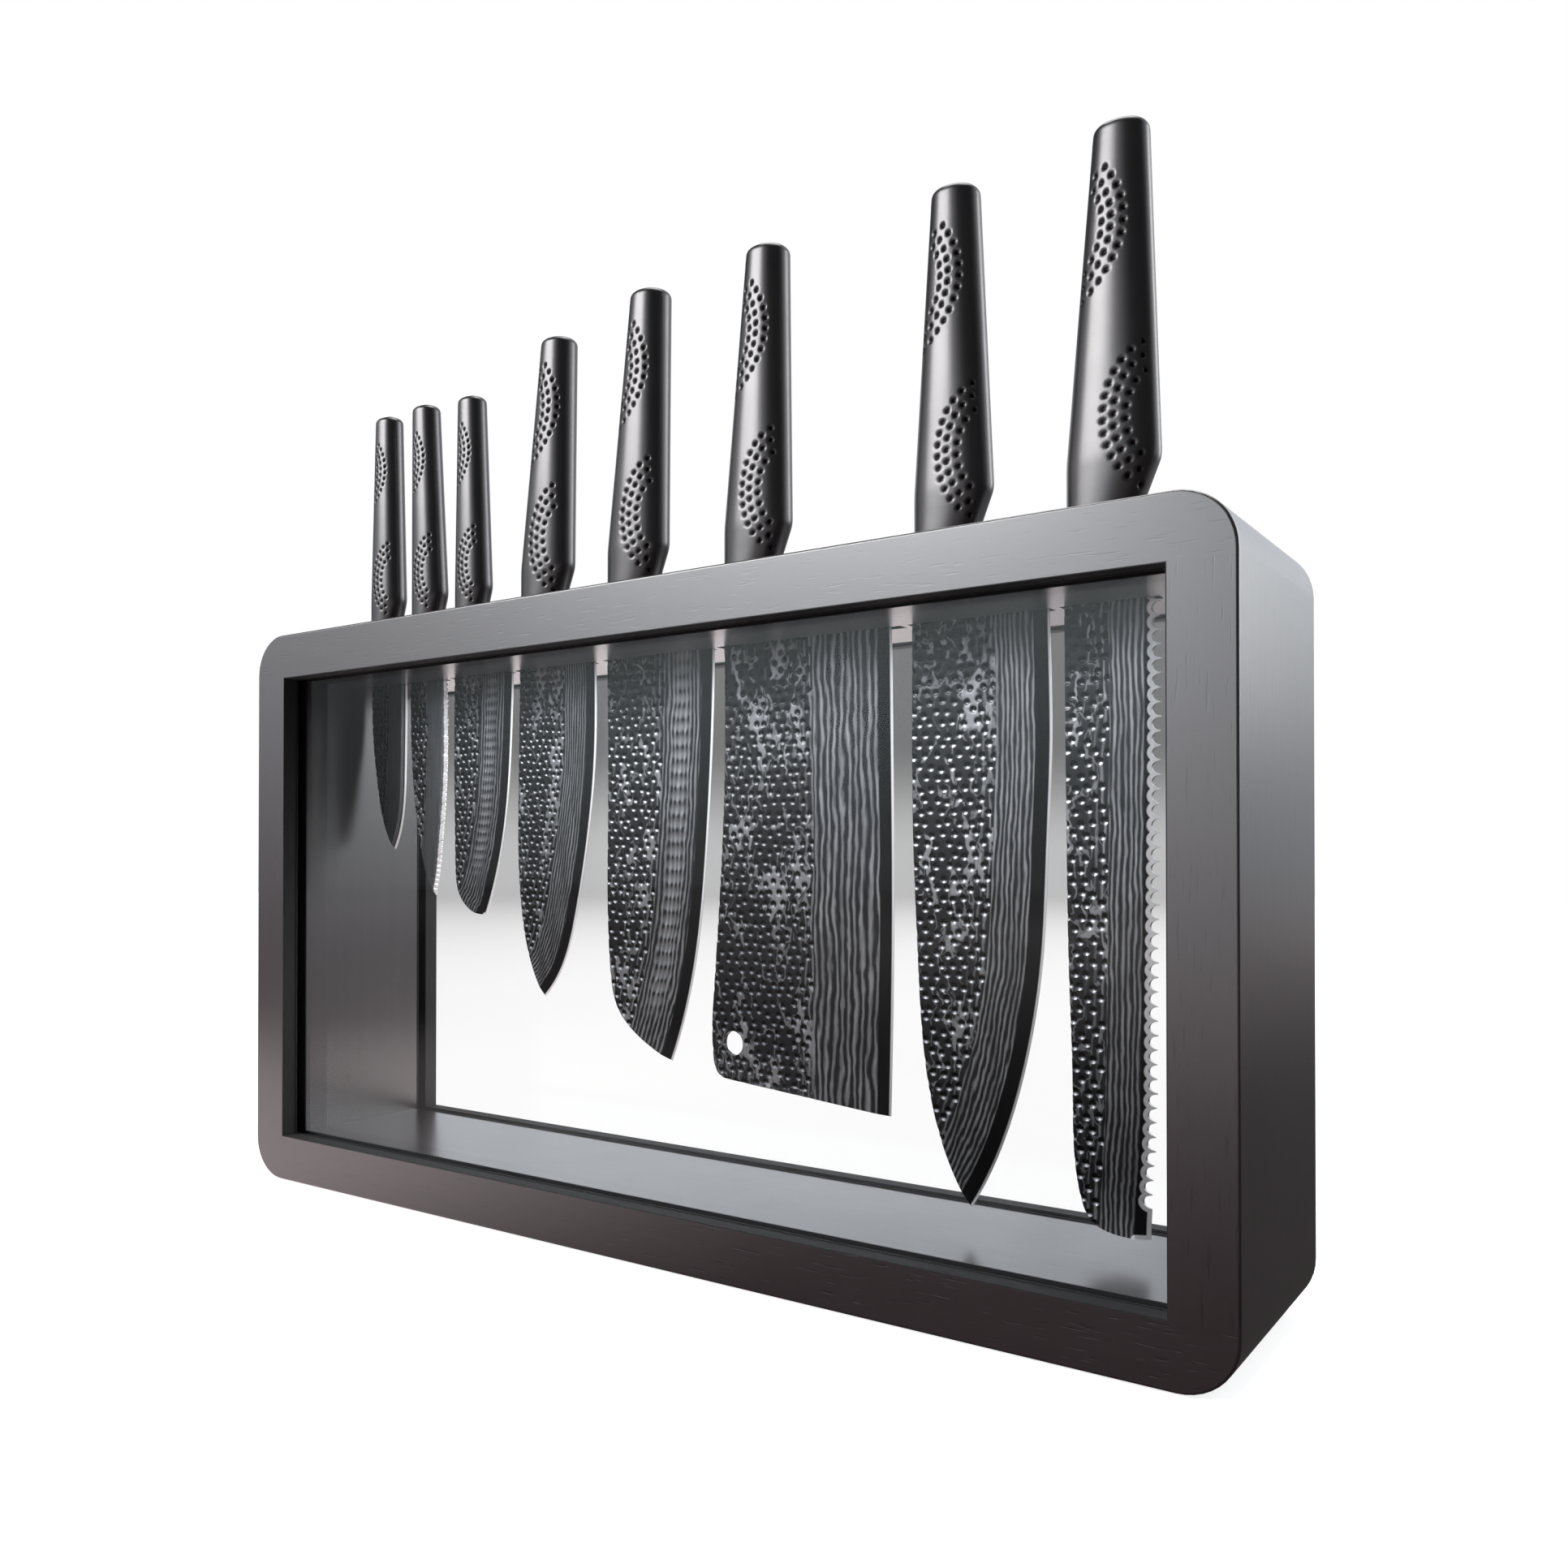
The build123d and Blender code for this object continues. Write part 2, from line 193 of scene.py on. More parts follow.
def buildSmudgeGroup():
    # handling marks and settled dust, as changes of roughness and a faint veil
    tree, given, out = newGroup("handlingMarks", [
        ("Vector", vectorKind, None), ("Size", floatKind, 18.0), ("Amount", floatKind, 0.1),
        ("Base Roughness", floatKind, 0.4), ("Dust", floatKind, 0.3),
    ], [("Roughness", floatKind), ("Dust Mask", floatKind)])
    scaled = addNode(tree, "ShaderNodeVectorMath", operation="SCALE")
    tree.links.new(given["Vector"], scaled.inputs[0])
    tree.links.new(given["Size"], scaled.inputs["Scale"])
    marks = noise(tree, scaled.outputs[0], 1.0, 5.0, 0.62, 0.8)
    swing = mathNode(tree, "MULTIPLY", mathNode(tree, "SUBTRACT", marks, 0.5), given["Amount"])
    rough = mathNode(tree, "ADD", given["Base Roughness"], mathNode(tree, "MULTIPLY", swing, 2.0), True)
    specks = noise(tree, scaled.outputs[0], 60.0, 2.0, 0.5)
    dust = mathNode(tree, "MULTIPLY", mapRange(tree, specks, 0.66, 0.74), given["Dust"], True)
    tree.links.new(rough, out["Roughness"])
    tree.links.new(dust, out["Dust Mask"])
    return tree


def buildBlastGroup():
    # the fine matt texture of a blasted and coated metal
    tree, given, out = newGroup("blastedMetal", [
        ("Vector", vectorKind, None), ("Grit", floatKind, 2200.0),
    ], [("Height", floatKind), ("Cloud", floatKind)])
    scaled = addNode(tree, "ShaderNodeVectorMath", operation="SCALE")
    tree.links.new(given["Vector"], scaled.inputs[0])
    tree.links.new(given["Grit"], scaled.inputs["Scale"])
    tree.links.new(noise(tree, scaled.outputs[0], 1.0, 2.0, 0.6), out["Height"])
    tree.links.new(noise(tree, scaled.outputs[0], 0.03, 4.0, 0.6), out["Cloud"])
    return tree


def buildLayerLineGroup():
    # thin lines of a layered steel, parallel to the cutting edge
    tree, given, out = newGroup("layeredSteel", [
        ("Vector", vectorKind, None), ("Edge Distance", floatKind, 0.0), ("Pitch", floatKind, 1.2),
        ("Wander", floatKind, 0.8), ("Thin", floatKind, 0.62),
    ], [("Line", floatKind)])
    slow = noise(tree, stretched(tree, given["Vector"], (110.0, 110.0, 38.0)), 1.0, 3.0, 0.55)
    small = noise(tree, stretched(tree, given["Vector"], (520.0, 520.0, 170.0)), 1.0, 2.0, 0.5)
    wander = mathNode(tree, "MULTIPLY", mathNode(tree, "SUBTRACT", slow, 0.5), given["Wander"])
    jitter = mathNode(tree, "MULTIPLY", mathNode(tree, "SUBTRACT", small, 0.5), 0.5)
    across = mathNode(tree, "DIVIDE", given["Edge Distance"], given["Pitch"])
    drift = mathNode(tree, "ADD", mathNode(tree, "MULTIPLY", wander, 4.0), jitter)
    phase = mathNode(tree, "ADD", across, drift)
    wave = mathNode(tree, "ABSOLUTE", mathNode(tree, "SUBTRACT", mathNode(tree, "FRACT", phase), 0.5))
    ridge = mathNode(tree, "MULTIPLY", wave, 2.0)
    line = mapRange(tree, ridge, given["Thin"], 0.98, smooth=True)
    patchy = noise(tree, stretched(tree, given["Vector"], (420.0, 420.0, 70.0)), 1.0, 2.0, 0.5)
    strength = mapRange(tree, patchy, 0.3, 0.65, 0.45, 1.0)
    tree.links.new(mathNode(tree, "MULTIPLY", line, strength), out["Line"])
    return tree


def buildFeatherGroup():
    # feathered paler patches of the hammered steel
    tree, given, out = newGroup("featheredSteel", [
        ("Vector", vectorKind, None), ("Share", floatKind, 0.5),
    ], [("Patch", floatKind), ("Vein", floatKind)])
    warp = addNode(tree, "ShaderNodeTexNoise", noise_dimensions="3D")
    warp.inputs["Scale"].default_value = 130.0
    warp.inputs["Detail"].default_value = 3.0
    tree.links.new(given["Vector"], warp.inputs["Vector"])
    shift = addNode(tree, "ShaderNodeVectorMath", operation="MULTIPLY_ADD")
    tree.links.new(warp.outputs["Color"], shift.inputs[0])
    shift.inputs[1].default_value = (0.010, 0.010, 0.016)
    tree.links.new(given["Vector"], shift.inputs[2])
    leaning = addNode(tree, "ShaderNodeMapping")
    leaning.inputs["Rotation"].default_value = (0.0, math.radians(-24), 0.0)
    leaning.inputs["Scale"].default_value = (150.0, 60.0, 52.0)
    tree.links.new(shift.outputs[0], leaning.inputs["Vector"])
    field = noise(tree, leaning.outputs[0], 1.0, 4.0, 0.62, 0.4)
    edge = mathNode(tree, "SUBTRACT", 1.0, given["Share"])
    soft = mathNode(tree, "ADD", edge, 0.05)
    tree.links.new(mapRange(tree, field, edge, soft, smooth=True), out["Patch"])
    swing = mathNode(tree, "SUBTRACT", noise(tree, leaning.outputs[0], 0.8, 3.0, 0.5), 0.5)
    vein = mathNode(tree, "ABSOLUTE", swing)
    tree.links.new(mapRange(tree, vein, 0.006, 0.022, 1.0, 0.0, True), out["Vein"])
    return tree


woodGrain = buildGrainGroup()
handlingMarks = buildSmudgeGroup()
blastedMetal = buildBlastGroup()
layeredSteel = buildLayerLineGroup()
featheredSteel = buildFeatherGroup()
print("stage: shared effects built")


# wood

woodLook = {
    "dark": (0.0145, 0.0052, 0.0062), "light": (0.0290, 0.0145, 0.0165), "pore": (0.0056, 0.0021, 0.0024),
    # the reveal colour is painted shade on the wood faces in front of the panes
    "revealShade": (0.0030, 0.0022, 0.0022), "revealRoughness": 0.75,
    "roughness": 0.34, "marks": 0.05, "dust": 0.04, "coat": 1.0, "coatRoughness": 0.26,
    "coatIOR": 1.7, "IOR": 1.7, "poreDepth": 0.00005,
}


# the window's opening and how far towards the block's middle its rebates reach
opening = {
    "x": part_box("right_side_board")[0][0] + 0.0003, "y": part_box("rear_glazing_gasket")[1][1] - 0.0002,
    "low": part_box("bottom_board")[1][2] - 0.0003, "high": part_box("top_board_front")[0][2] + 0.0003,
}


def revealShadeMask(tree, coords):
    # 1 on the narrow faces of the wood in front of either pane, which get a near-black colour as painted
    # shade
    split = addNode(tree, "ShaderNodeSeparateXYZ")
    tree.links.new(coords, split.inputs[0])
    across = mathNode(tree, "ABSOLUTE", split.outputs["X"])
    depth = mathNode(tree, "ABSOLUTE", split.outputs["Y"])
    mask = mathNode(tree, "LESS_THAN", across, opening["x"])
    tests = [
        ("GREATER_THAN", depth, opening["y"]), ("GREATER_THAN", split.outputs["Z"], opening["low"]),
        ("LESS_THAN", split.outputs["Z"], opening["high"]),
    ]
    for test in tests:
        mask = mathNode(tree, "MULTIPLY", mask, mathNode(tree, *test))
    return mask


def buildWood(name, stretch):
    material, tree, shader = newMaterial(name)
    coords = objectCoords(tree)
    grain = useGroup(tree, woodGrain, {"Vector": stretched(tree, coords, stretch)}, Figure=0.8, Pores=0.9)
    marks = useGroup(tree, handlingMarks, {"Vector": coords}, **{
        "Amount": woodLook["marks"], "Base Roughness": woodLook["roughness"], "Dust": woodLook["dust"]})
    tone = mixColors(tree, grain["Tone"], woodLook["dark"], woodLook["light"])
    tone = mixColors(tree, grain["Pore Mask"], tone, woodLook["pore"])
    tone = mixColors(tree, marks["Dust Mask"], tone, (0.2, 0.19, 0.18))
    revealShade = revealShadeMask(tree, coords)
    # painted shade: the faces in front of the panes are mixed to a near-black colour
    tree.links.new(mixColors(tree, revealShade, tone, woodLook["revealShade"]), shader.inputs["Base Color"])
    rough = mapRange(tree, revealShade, 0.0, 1.0, marks["Roughness"], woodLook["revealRoughness"])
    tree.links.new(rough, shader.inputs["Roughness"])
    tree.links.new(mapRange(tree, revealShade, 0.0, 1.0, woodLook["coat"], 0.0), shader.inputs["Coat Weight"])
    shader.inputs["Coat Roughness"].default_value = woodLook["coatRoughness"]
    shader.inputs["Coat IOR"].default_value = woodLook["coatIOR"]
    shader.inputs["IOR"].default_value = woodLook["IOR"]
    addBump(tree, shader, grain["Height"], woodLook["poreDepth"], 0.6)
    return material


woodAcross = buildWood("stainedWoodAcross", (2.2, 26.0, 26.0))
woodUpright = buildWood("stainedWoodUpright", (26.0, 26.0, 2.2))


dowelLook = {
    "dark": (0.32, 0.2, 0.1), "light": (0.55, 0.4, 0.24), "stretch": (60.0, 60.0, 6.0),
    "grainDepth": 0.0001,
}


def buildDowelWood():
    material, tree, shader = newMaterial("rawDowel")
    coords = objectCoords(tree)
    along = stretched(tree, coords, dowelLook["stretch"])
    grain = useGroup(tree, woodGrain, {"Vector": along}, Figure=0.5, Pores=0.5)
    tone = mixColors(tree, grain["Tone"], dowelLook["dark"], dowelLook["light"])
    tree.links.new(tone, shader.inputs["Base Color"])
    tree.links.new(mapRange(tree, grain["Tone"], 0.0, 1.0, 0.55, 0.75), shader.inputs["Roughness"])
    addBump(tree, shader, grain["Height"], dowelLook["grainDepth"], 0.5)
    return material


dowelWood = buildDowelWood()


# glass, rubber, magnets

glassLook = {"tint": (0.90, 0.95, 0.93), "clear": 0.012, "power": 5.0, "roughness": 0.05, "smear": 0.01}


def buildGlass():
    # what a pane doesn't let through it mirrors, a little face on and more and more at a slant
    material, tree, shader = newMaterial("clearPane")
    coords = objectCoords(tree)
    marks = useGroup(tree, handlingMarks, {"Vector": coords}, **{
        "Size": 14.0, "Amount": glassLook["smear"], "Base Roughness": glassLook["roughness"],
        "Dust": 0.2})
    tone = mixColors(tree, marks["Dust Mask"], glassLook["tint"], (0.6, 0.6, 0.6))
    tree.links.new(tone, shader.inputs["Base Color"])
    tree.links.new(marks["Roughness"], shader.inputs["Roughness"])
    shader.inputs["Metallic"].default_value = 1.0
    facing = addNode(tree, "ShaderNodeLayerWeight").outputs["Facing"]
    slant = mathNode(tree, "POWER", facing, glassLook["power"])
    alpha = mapRange(tree, slant, 0.0, 1.0, glassLook["clear"], 0.95)
    dusty = mathNode(tree, "MULTIPLY", marks["Dust Mask"], 0.03)
    tree.links.new(mathNode(tree, "ADD", alpha, dusty), shader.inputs["Alpha"])
    return material


rubberLook = {"lighter": 1.7, "swing": 0.08, "grit": 1500.0, "gritDepth": 0.00004}
nickelLook = {
    "dull": (0.55, 0.54, 0.51), "bright": (0.75, 0.74, 0.71), "roughness": 0.24, "gritDepth": 0.00002,
}


def buildRubber(name, tone, roughness):
    material, tree, shader = newMaterial(name)
    coords = objectCoords(tree)
    blast = useGroup(tree, blastedMetal, {"Vector": coords}, Grit=rubberLook["grit"])
    lighter = [rubberLook["lighter"] * part for part in tone]
    tree.links.new(mixColors(tree, blast["Cloud"], tone, lighter), shader.inputs["Base Color"])
    swing = rubberLook["swing"]
    rough = mapRange(tree, blast["Cloud"], 0.2, 0.8, roughness - swing, roughness + swing)
    tree.links.new(rough, shader.inputs["Roughness"])
    addBump(tree, shader, blast["Height"], rubberLook["gritDepth"], 0.5)
    return material


def buildNickel():
    material, tree, shader = newMaterial("platedMagnet")
    coords = objectCoords(tree)
    marks = useGroup(tree, handlingMarks, {"Vector": coords}, **{
        "Size": 160.0, "Amount": 0.15, "Base Roughness": nickelLook["roughness"], "Dust": 0.1})
    blast = useGroup(tree, blastedMetal, {"Vector": coords}, Grit=900.0)
    tone = mixColors(tree, blast["Cloud"], nickelLook["dull"], nickelLook["bright"])
    tree.links.new(tone, shader.inputs["Base Color"])
    tree.links.new(marks["Roughness"], shader.inputs["Roughness"])
    shader.inputs["Metallic"].default_value = 1.0
    addBump(tree, shader, blast["Height"], nickelLook["gritDepth"], 0.4)
    return material


clearPane = buildGlass()
gasketRubber = buildRubber("gasketRubber", (0.006, 0.006, 0.0065), 0.6)
padRubber = buildRubber("padRubber", (0.012, 0.012, 0.012), 0.8)
platedMagnet = buildNickel()


# meshes

def buildMesh(name, points, faces, values=None, sharpAngle=38.0):
    # points in millimetres; faces is a list of integer arrays, one per face size
    mesh = bpy.data.meshes.new(name)
    mesh.vertices.add(len(points))
    mesh.vertices.foreach_set("co", (np.asarray(points, dtype=np.float64) * mm).astype(np.float32).ravel())
    corners = np.concatenate([block.ravel() for block in faces]).astype(np.int32)
    sizes = np.concatenate([np.full(len(block), block.shape[1]) for block in faces])
    starts = np.concatenate([[0], np.cumsum(sizes)[:-1]]).astype(np.int32)
    mesh.loops.add(len(corners))
    mesh.loops.foreach_set("vertex_index", corners)
    mesh.polygons.add(len(sizes))
    mesh.polygons.foreach_set("loop_start", starts)
    mesh.polygons.foreach_set("use_smooth", np.ones(len(sizes), dtype=bool))
    for label, numbers in (values or {}).items():
        attribute = mesh.attributes.new(label, "FLOAT", "POINT")
        attribute.data.foreach_set("value", np.asarray(numbers, dtype=np.float32))
    mesh.update(calc_edges=True)
    mesh.validate()
    mesh.set_sharp_from_angle(angle=math.radians(sharpAngle))
    piece = bpy.data.objects.new(name, mesh)
    bpy.context.scene.collection.objects.link(piece)
    return piece


def nodeEdges(*nodes):
    # both ends of every edge of CAD nodes, in millimetres
    found = []
    for node in nodes:
        part = frame["nodes"][node]
        mesh = part.data
        points = np.empty(len(mesh.vertices) * 3, dtype=np.float32)
        mesh.vertices.foreach_get("co", points)
        turn = np.array(part.matrix_world.to_3x3())
        points = points.reshape(-1, 3) @ turn.T + np.array(part.matrix_world.translation)
        pairs = np.empty(len(mesh.edges) * 2, dtype=np.int32)
        mesh.edges.foreach_get("vertices", pairs)
        found.append(points[pairs.reshape(-1, 2)])
    return np.concatenate(found) / mm


def spanAt(edges, level, axis):
    # lowest and highest coordinate along axis where the edges cross the height
    below, above = edges[:, 0, 2], edges[:, 1, 2]
    crossing = (below - level) * (above - level) <= 0
    crossing &= np.abs(above - below) > 1e-6
    if not crossing.any():
        return None
    picked = edges[crossing]
    share = (level - picked[:, 0, 2]) / (picked[:, 1, 2] - picked[:, 0, 2])
    spots = picked[:, 0, axis] + share * (picked[:, 1, axis] - picked[:, 0, axis])
    return spots.min(), spots.max()


def blurred(numbers, width):
    # running average that keeps the ends in place
    reach = int(width)
    if reach < 1:
        return numbers
    padded = np.concatenate([np.full(reach, numbers[0]), numbers, np.full(reach, numbers[-1])])
    weights = np.hanning(2 * reach + 3)[1:-1]
    return np.convolve(padded, weights / weights.sum(), mode="valid")


def treeOf(points):
    tree = KDTree(len(points))
    for index, point in enumerate(points):
        tree.insert(point, index)
    tree.balance()
    return tree


def distancesTo(tree, points):
    return np.array([tree.find(point)[2] for point in points])


def dropBelow(tree, points):
    # how far each point lies below the nearest spot of the tree
    return np.array([tree.find(point)[0].z - point[2] for point in points])


# blades

bladeGrid = {
    "step": 0.42, "toothStep": 0.3, "fineStep": 0.2, "fineLength": 14.0, "heelDrop": 2.0, "spineRound": 0.3,
    "hollowDepth": 0.13, "edgeHalf": 0.1, "thinnest": 0.06, "toothColumns": 10,
}
# zones are measured from the cutting edge in millimetres: plain ground bevel, then the layered
# band with its lines a pitch apart, then hammered steel up to the spine; dimple is the pitch,
# radius and depth of the hammer blows, lip how strong the painted highlight on their lower lips is,
# hollows the spacing of the ovals ground across the band, and teeth their depth
smallBlow, largeBlow = (3.4, 1.1, 0.26), (4.0, 1.28, 0.32)
bladeLooks = {
    "paring_knife": {"bevel": 1.2, "band": 10.0, "line": 0.8, "dimple": smallBlow, "brushed": True,
                     "seed": 3},
    "serrated_utility_knife": {"bevel": 0.9, "band": 10.8, "line": 0.8, "dimple": smallBlow, "brushed": True,
                               "teeth": 0.8, "seed": 5},
    "small_santoku": {"bevel": 4.2, "band": 13.4, "line": 1.5, "dimple": smallBlow, "hollows": 3.5,
                      "seed": 7},
    "cooks_knife": {"bevel": 4.2, "band": 11.5, "line": 1.25, "dimple": smallBlow, "seed": 11},
    "santoku_knife": {"bevel": 4.8, "band": 17.0, "line": 2.0, "dimple": largeBlow, "hollows": 5.0,
                      "seed": 13},
    "cleaver": {"bevel": 4.7, "band": 25.5, "line": 2.7, "dimple": largeBlow, "hole": 4.3, "lip": 0.45,
                "seed": 17},
    "chefs_knife": {"bevel": 5.0, "band": 12.7, "line": 1.75, "dimple": largeBlow, "seed": 19},
    "bread_knife": {"bevel": 4.6, "band": 10.2, "line": 1.7, "dimple": largeBlow, "teeth": 2.9, "seed": 23},
}


def hammerSpots(xRange, zRange, pitch, seed):
    # staggered rows, each blow a little off its place
    chance = random.Random(seed)
    spots = []
    rows = int((zRange[1] - zRange[0]) / (pitch * 0.86)) + 2
    columns = int((xRange[1] - xRange[0]) / pitch) + 2
    for row in range(rows):
        for column in range(columns):
            shift = 0.5 if row % 2 else 0.0
            x = xRange[0] + (column + shift + chance.uniform(-0.17, 0.17)) * pitch
            z = zRange[0] + (row + chance.uniform(-0.2, 0.2)) * pitch * 0.86
            spots.append((x, 0.0, z))
    return spots


def buildBlade(name):
    look = bladeLooks[name]
    node = name + "_blade"
    edges = nodeEdges(node)
    low, high = [np.array(corner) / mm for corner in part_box(node)]
    heel = boardTop / mm - bladeGrid["heelDrop"]
    tip = low[2]
    middle, half = (low[1] + high[1]) / 2, (high[1] - low[1]) / 2
    teeth = look.get("teeth", 0.0)
    step = bladeGrid["step"] if teeth < 2 else bladeGrid["toothStep"]
    fineFrom = tip + bladeGrid["fineLength"]
    levels = [heel - 0.02]
    while levels[-1] > tip + 0.06:
        levels.append(levels[-1] - (step if levels[-1] > fineFrom else bladeGrid["fineStep"]))
    levels = np.array([max(level, tip + 0.02) for level in levels])
    spans = np.array([spanAt(edges, level, 0) for level in levels])
    spine, cut = spans[:, 0], spans[:, 1]
    envelope = cut.copy()
    if teeth:  # the edge line that the teeth were cut from
        reach = int(3.2 / step) if teeth > 2 else int(1.6 / step)
        padded = np.pad(cut, reach, mode="edge")
        envelope = np.array([padded[i:i + 2 * reach + 1].max() for i in range(len(cut))])
        envelope = np.minimum(blurred(envelope, reach), envelope)
        envelope = np.maximum(envelope, cut)
    rows = len(levels)
    width = float((envelope - spine).max())
    count = max(24, int(width / step))
    lead = np.array([0.0, 0.25, 0.6, 1.0]) * bladeGrid["spineRound"] / width
    body = np.linspace(0, 1, count + 1)[1:]
    shares = np.concatenate([lead, body[body > lead[-1] + 0.4 / count]])
    columns = len(shares)
    inner = np.maximum(envelope - teeth - 0.5, spine + 0.3 * (envelope - spine)) if teeth else None
    x = np.empty((rows, columns))
    for row in range(rows):
        if teeth:
            split = columns - bladeGrid["toothColumns"]
            x[row, :split] = spine[row] + (inner[row] - spine[row]) * shares[:split] / shares[split - 1]
            x[row, split - 1:] = np.linspace(inner[row], cut[row], columns - split + 1)
        else:
            x[row] = spine[row] + (cut[row] - spine[row]) * shares
    z = np.repeat(levels[:, None], columns, axis=1)
    keep = np.ones((rows - 1, columns - 1), dtype=bool)
    if "hole" in look:
        x, z, keep = pierce(x, z, keep, holeCentre(edges, low), look["hole"])
    flat = np.stack([x.ravel(), np.zeros(x.size), z.ravel()], axis=1)
    line = np.stack([envelope, np.zeros(rows), levels], axis=1)
    edgeDistance = distancesTo(treeOf(refined(line, 0.12)), flat)
    if teeth:
        cutLine = np.stack([cut, np.zeros(rows), levels], axis=1)
        cutDistance = distancesTo(treeOf(refined(cutLine, 0.12)), flat)
    else:
        cutDistance = edgeDistance.copy()
    zoneEdge = look["bevel"] + look["band"]
    pitch, radius, depth = look["dimple"]
    spots = hammerSpots((spine.min() - 1, envelope.max()), (tip - 1, heel), pitch, look["seed"])
    spotDistance = distancesTo(treeOf(refined(line, 0.5)), spots)
    spots = [spot for spot, gap in zip(spots, spotDistance) if gap > zoneEdge + radius * 0.4]
    blows = treeOf(spots)
    bowl = np.clip(1 - (distancesTo(blows, flat) / radius) ** 2, 0, 1)
    lip = np.clip(dropBelow(blows, flat) / radius, -1, 1)
    hammered = np.clip((edgeDistance - zoneEdge) / 0.6, 0, 1)
    sink = depth * bowl * np.clip(hammered * 2, 0, 1)
    rungs = np.zeros(len(flat))
    if "hollows" in look:  # long shallow ovals ground along the layered band
        rungs = ovalHollows(flat, edgeDistance, levels, look)
        sink += bladeGrid["hollowDepth"] * rungs
    cutAway = np.clip(1 - np.minimum(edgeDistance, 40) / max(look["bevel"], 2.4), 0, 1)
    thick = half - (half - bladeGrid["edgeHalf"]) * cutAway
    fromSpine = np.clip(flat[:, 0] - np.repeat(spine, columns), 0, 5)
    roundOff = bladeGrid["spineRound"]
    shoulder = np.clip(roundOff - fromSpine, 0, roundOff)
    thick -= np.minimum(roundOff - np.sqrt(np.maximum(roundOff ** 2 - shoulder ** 2, 0)), thick * 0.6)
    face = np.maximum(thick - sink, bladeGrid["thinnest"])
    front, back = flat.copy(), flat.copy()
    front[:, 1] = middle - face
    back[:, 1] = middle + face
    total = rows * columns
    index = np.arange(total).reshape(rows, columns)
    cells = np.stack([index[:-1, :-1], index[1:, :-1], index[1:, 1:], index[:-1, 1:]], axis=-1)[keep]
    blocks = [cells, cells[:, ::-1] + total]
    blocks.append(rimFaces(cells, total))
    values = {"edgeGap": edgeDistance, "cutGap": cutDistance, "dimple": bowl * hammered,
              "lip": lip, "rung": rungs}
    values = {label: np.tile(numbers, 2) for label, numbers in values.items()}
    return buildMesh(name + "Blade", np.concatenate([front, back]), blocks, values)


def refined(line, spacing):
    # points every spacing along a polyline
    spots = [line[0]]
    for first, second in zip(line[:-1], line[1:]):
        length = float(np.linalg.norm(second - first))
        parts = max(1, int(math.ceil(length / spacing)))
        for part in range(1, parts + 1):
            spots.append(first + (second - first) * part / parts)
    return spots


def rimFaces(cells, total):
    # walls joining the front sheet to the back one along every open border
    sides = np.concatenate([cells[:, [0, 1]], cells[:, [1, 2]], cells[:, [2, 3]], cells[:, [3, 0]]])
    keys = np.sort(sides, axis=1)
    order = keys[:, 0].astype(np.int64) * (total + 1) + keys[:, 1]
    _, first, counts = np.unique(order, return_index=True, return_counts=True)
    border = sides[first[counts == 1]]
    return np.stack([border[:, 1], border[:, 0], border[:, 0] + total, border[:, 1] + total], axis=1)


def holeCentre(edges, low):
    # middle of the hanging hole, from the round wall in the CAD blade
    inside = (edges[:, :, 2].max(axis=1) < low[2] + 26) & (edges[:, :, 2].min(axis=1) > low[2] + 11)
    across = edges[:, :, 0]
    near = edges[inside & (across.max(axis=1) < low[0] + 20) & (across.min(axis=1) > low[0] + 3)]
    spots = near.reshape(-1, 3)
    return (spots[:, 0].min() + spots[:, 0].max()) / 2, (spots[:, 2].min() + spots[:, 2].max()) / 2


def pierce(x, z, keep, centre, radius):
    # opens a round hole in the grid and draws the points round it onto its rim
    start, stop = radius * 0.45, radius * 1.7
    dx, dz = x - centre[0], z - centre[1]
    gap = np.hypot(dx, dz)
    cellGap = (gap[:-1, :-1] + gap[1:, :-1] + gap[1:, 1:] + gap[:-1, 1:]) / 4
    keep = keep & (cellGap > start)
    border = np.zeros(gap.shape, dtype=bool)
    gone = ~keep & (cellGap <= start)
    for shiftRow in (0, 1):
        for shiftColumn in (0, 1):
            border[shiftRow:shiftRow + gone.shape[0], shiftColumn:shiftColumn + gone.shape[1]] |= gone
    moved = radius + np.clip(gap - start, 0.02, None) * (stop - radius) / (stop - start)
    moved = np.where(gap < stop, moved, gap)
    moved = np.where(border, radius, moved)
    share = moved / np.maximum(gap, 1e-6)
    return centre[0] + dx * share, centre[1] + dz * share, keep


def ovalHollows(flat, edgeDistance, levels, look):
    # 1 in the middle of each oval, fading out towards the tip
    across = look["bevel"] + look["band"] * 0.52
    wide, spacing = look["band"] * 0.32, look["hollows"]
    along = (levels[0] - flat[:, 2]) / spacing
    local = (along - np.floor(along) - 0.5) * spacing
    form = 1 - (local / (spacing * 0.45)) ** 2 - ((edgeDistance - across) / wide) ** 2
    fade = np.clip((flat[:, 2] - levels[-1] - 14) / 10, 0, 1)
    return np.clip(form, 0, 1) * fade


bladeTone = {
    "coat": (0.0150, 0.0150, 0.0160), "layer": (0.27, 0.273, 0.28), "patch": (0.23, 0.232, 0.238),
    # pit is a painted shade colour for the hammer blows and lip a painted highlight on their lower lips
    "shadedPit": (0.006, 0.006, 0.0062), "lip": (0.21, 0.212, 0.218), "rung": 0.55,
    "brushed": (0.11, 0.111, 0.114), "bevel": (0.008, 0.008, 0.0085), "silver": (0.90, 0.90, 0.90),
    "roughness": 0.34, "pitRoughness": 0.2, "metallic": 0.9, "silverWidth": 0.75, "toothSilver": 1.3,
    "share": 0.44, "outerLines": 7.5, "outerPitch": 2.4,
}


